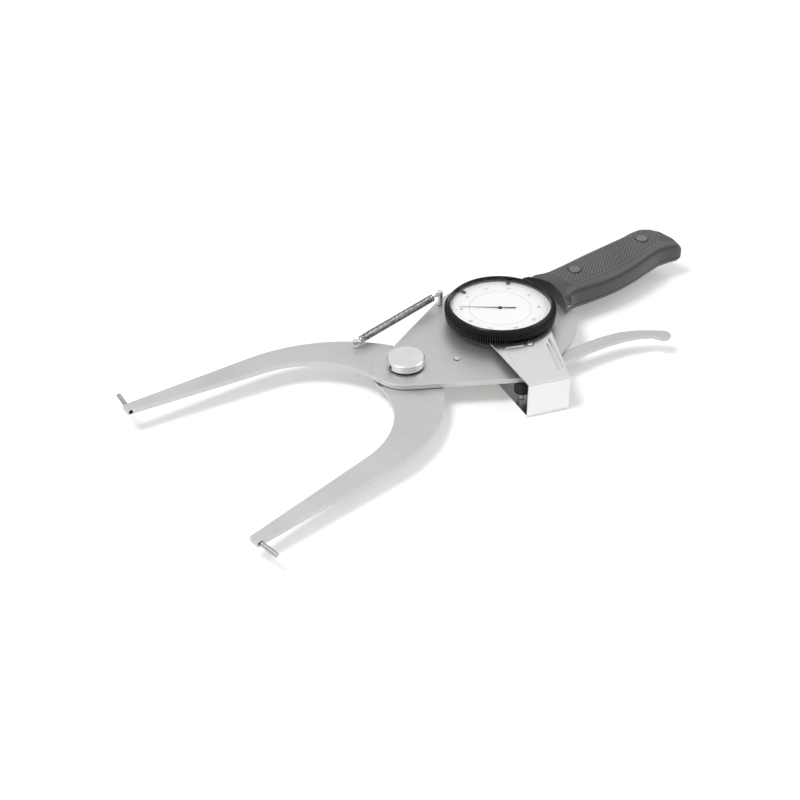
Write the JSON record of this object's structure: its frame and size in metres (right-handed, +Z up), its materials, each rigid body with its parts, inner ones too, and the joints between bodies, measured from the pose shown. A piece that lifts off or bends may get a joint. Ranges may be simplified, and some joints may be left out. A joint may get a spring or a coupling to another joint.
{
  "type": "internal dial caliper gauge",
  "caption": "Lever-operated internal dial caliper gauge with curved jaws, dial on a fan-shaped plate, moulded grip, sheet guard and finger lever.",
  "frame": {"origin": "middle of the footprint, on the underside of the guard's lower flange", "axes": "+X from the pivot through the dial to the grip, +Y towards the moving jaw, +Z up out of the dial"},
  "size_m": [0.3234, 0.1436, 0.0261],
  "materials": {
    "satin_steel": "satin chrome",
    "bright_steel": "bright",
    "polished_steel": "polished",
    "black_metal": "black, semi gloss",
    "case_metal": "satin",
    "brass": "plain",
    "white_enamel": "white enamel",
    "clear_crystal": "clear",
    "grip_plastic": "moulded, dark grey",
    "black_rubber": "matt",
    "spring_steel": "drawn wire"
  },
  "bodies": {
    "frame": {"fan_plate": "satin_steel", "near_arm": "satin_steel", "near_contact_pin": "bright_steel", "near_contact_set_screw": "black_metal", "pivot_pin": "bright_steel", "pivot_knob": "bright_steel", "knob_set_screw": "black_metal", "upper_washer": "black_metal", "lower_washer": "black_metal", "spacer_pin": "polished_steel", "frame_spring_post": "bright_steel", "dial_case": "case_metal", "case_screw_1": "bright_steel", "case_screw_2": "bright_steel", "case_screw_3": "bright_steel", "movement_bracket": "brass", "movement_screw_1": "bright_steel", "movement_screw_2": "bright_steel", "lower_bridge": "case_metal", "bridge_screw_1": "bright_steel", "bridge_screw_2": "bright_steel", "lever_guard": "polished_steel", "guard_post": "case_metal", "guard_top_screw": "black_metal", "guard_pillar": "case_metal", "guard_bottom_screw": "black_metal", "lever_stop": "black_rubber", "grip_upper_shell": "grip_plastic", "grip_lower_shell": "grip_plastic", "grip_plug_1": "grip_plastic", "grip_plug_2": "grip_plastic", "grip_nut_1": "brass", "grip_nut_2": "brass", "grip_screw_1": "bright_steel", "grip_screw_2": "bright_steel", "ledge_screw_1": "bright_steel", "ledge_screw_2": "bright_steel", "hairspring": "brass", "return_spring": "spring_steel"},
    "moving_arm": {"far_arm": "satin_steel", "far_contact_pin": "bright_steel", "far_contact_set_screw": "black_metal", "arm_spring_post": "bright_steel", "lever_plate": "satin_steel", "pivot_bush": "brass", "arm_rivet_1": "satin_steel", "arm_rivet_2": "satin_steel", "gear_sector": "brass", "sector_screw_1": "bright_steel", "sector_screw_2": "bright_steel"},
    "first_arbor_and_wheel": {"first_arbor": "bright_steel", "arbor_wheel": "brass"},
    "needle_and_arbor": {"centre_arbor": "bright_steel", "needle": "black_metal"},
    "bezel": {"bezel_ring": "black_metal", "crystal": "clear_crystal", "dial_face": "white_enamel"},
    "limit_marker_a": {"limit_marker_1": "black_metal"},
    "limit_marker_b": {"limit_marker_2": "black_metal"}
  },
  "joints": [
    {"name": "arm_swing", "type": "hinge", "parent": "frame", "child": "moving_arm", "pos_m": [-0.03072, -0.00095, 0.0143], "axis": [0, 0, 1], "range_deg": [0, 12], "stiffness_Nm_per_rad": 0.5, "springref_deg": -8.59, "deforming": ["return_spring"]},
    {"name": "first_arbor_turn", "type": "hinge", "parent": "frame", "child": "first_arbor_and_wheel", "pos_m": [0.02243, -0.00095, 0.0143], "axis": [0, 0, 1], "range_deg": [-190, 5]},
    {"name": "needle_turn", "type": "hinge", "parent": "frame", "child": "needle_and_arbor", "pos_m": [0.03363, -0.00095, 0.0143], "axis": [0, 0, 1], "range_deg": [-10, 475]},
    {"name": "bezel_turn", "type": "hinge", "parent": "frame", "child": "bezel", "pos_m": [0.03363, -0.00095, 0.0213], "axis": [0, 0, 1], "continuous": true},
    {"name": "limit_marker_a_turn", "type": "hinge", "parent": "bezel", "child": "limit_marker_a", "pos_m": [0.03363, -0.00095, 0.0231], "axis": [0, 0, 1], "range_deg": [-20, 120]},
    {"name": "limit_marker_b_turn", "type": "hinge", "parent": "bezel", "child": "limit_marker_b", "pos_m": [0.03363, -0.00095, 0.0231], "axis": [0, 0, 1], "range_deg": [-120, 20]}
  ],
  "couplings": [
    {"joint": "first_arbor_turn", "follows": "arm_swing", "ratio": -15.583},
    {"joint": "needle_turn", "follows": "arm_swing", "ratio": 38.958}
  ]
}
